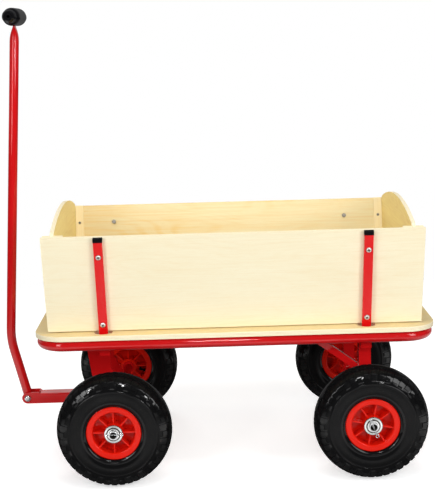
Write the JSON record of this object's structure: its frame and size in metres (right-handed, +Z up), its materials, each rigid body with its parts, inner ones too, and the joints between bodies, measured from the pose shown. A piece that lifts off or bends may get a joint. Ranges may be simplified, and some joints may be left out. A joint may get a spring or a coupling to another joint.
{
  "type": "hand wagon",
  "caption": "Hand wagon with a flared plywood box on a bent tube frame, pneumatic wheels, a swivelling front axle and a cranked pull handle with a T grip.",
  "frame": {"origin": "on the ground, in the middle of the box round the whole wagon", "axes": "+Z up, the wagon's front and handle towards -X, its left side towards -Y"},
  "size_m": [1.0157, 0.6218, 1.0694],
  "materials": {
    "plywood": "clear lacquer",
    "red_steel": "gloss paint",
    "red_plastic": "moulded",
    "tyre_rubber": "moulded tread",
    "zinc_steel": "bright zinc",
    "black_plastic": "moulded",
    "nylon": "plain",
    "valve_rubber": "plain"
  },
  "bodies": {
    "bed": {"floor_board": "plywood", "frame_tube": "red_steel", "cross_members": "red_steel", "head_plate": "red_steel", "thrust_ring": "black_plastic", "kingpin": "zinc_steel", "stake_sockets": "red_steel", "floor_bolts": "zinc_steel", "left_rear_post": "red_steel", "right_rear_post": "red_steel", "left_rear_brace": "red_steel", "right_rear_brace": "red_steel", "rear_axle": "zinc_steel", "rear_axle_washers": "zinc_steel", "rear_axle_split_pins": "zinc_steel"},
    "left_side": {"left_side_board": "plywood", "left_front_stake": "red_steel", "left_rear_stake": "red_steel", "left_stake_caps": "black_plastic", "left_inner_battens": "plywood", "left_outer_battens": "plywood", "left_stake_bolts": "zinc_steel", "left_batten_screws": "zinc_steel"},
    "right_side": {"right_side_board": "plywood", "right_front_stake": "red_steel", "right_rear_stake": "red_steel", "right_stake_caps": "black_plastic", "right_inner_battens": "plywood", "right_outer_battens": "plywood", "right_stake_bolts": "zinc_steel", "right_batten_screws": "zinc_steel"},
    "front_end": {"front_end_board": "plywood"},
    "rear_end": {"rear_end_board": "plywood"},
    "front_truck": {"steering_fork": "red_steel", "front_axle": "zinc_steel", "front_axle_washers": "zinc_steel", "front_axle_split_pins": "zinc_steel", "drawbar": "red_steel", "hinge_bolt": "zinc_steel"},
    "handle": {"handle_tube": "red_steel", "handle_bush": "red_steel", "t_grip": "black_plastic", "grip_pin": "zinc_steel"},
    "front_left_wheel": {"front_left_tyre": "tyre_rubber", "front_left_rim": "red_plastic", "front_left_hub_bush": "nylon", "front_left_valve": "valve_rubber"},
    "front_right_wheel": {"front_right_tyre": "tyre_rubber", "front_right_rim": "red_plastic", "front_right_hub_bush": "nylon", "front_right_valve": "valve_rubber"},
    "rear_left_wheel": {"rear_left_tyre": "tyre_rubber", "rear_left_rim": "red_plastic", "rear_left_hub_bush": "nylon", "rear_left_valve": "valve_rubber"},
    "rear_right_wheel": {"rear_right_tyre": "tyre_rubber", "rear_right_rim": "red_plastic", "rear_right_hub_bush": "nylon", "rear_right_valve": "valve_rubber"}
  },
  "joints": [
    {"name": "front_truck_swivel", "type": "hinge", "parent": "bed", "child": "front_truck", "pos_m": [-0.27913, 0, 0.29], "axis": [0, 0, 1], "range_deg": [-40, 40]},
    {"name": "handle_swing", "type": "hinge", "parent": "front_truck", "child": "handle", "pos_m": [-0.46313, 0, 0.129], "axis": [0, -1, 0], "range_deg": [0, 95]},
    {"name": "front_left_wheel_spin", "type": "hinge", "parent": "front_truck", "child": "front_left_wheel", "pos_m": [-0.23113, -0.263, 0.13], "axis": [0, 1, 0], "continuous": true},
    {"name": "front_right_wheel_spin", "type": "hinge", "parent": "front_truck", "child": "front_right_wheel", "pos_m": [-0.23113, 0.263, 0.13], "axis": [0, 1, 0], "continuous": true},
    {"name": "rear_left_wheel_spin", "type": "hinge", "parent": "bed", "child": "rear_left_wheel", "pos_m": [0.34887, -0.263, 0.13], "axis": [0, 1, 0], "continuous": true},
    {"name": "rear_right_wheel_spin", "type": "hinge", "parent": "bed", "child": "rear_right_wheel", "pos_m": [0.34887, 0.263, 0.13], "axis": [0, 1, 0], "continuous": true},
    {"name": "left_side_lift", "type": "slide", "parent": "bed", "child": "left_side", "axis": [0, -0.2079, 0.9781], "range_m": [0, 0.06]},
    {"name": "right_side_lift", "type": "slide", "parent": "bed", "child": "right_side", "axis": [0, 0.2079, 0.9781], "range_m": [0, 0.06]},
    {"name": "front_end_lift", "type": "slide", "parent": "bed", "child": "front_end", "axis": [0, 0, 1], "range_m": [0, 0.23]},
    {"name": "rear_end_lift", "type": "slide", "parent": "bed", "child": "rear_end", "axis": [0, 0, 1], "range_m": [0, 0.23]}
  ]
}
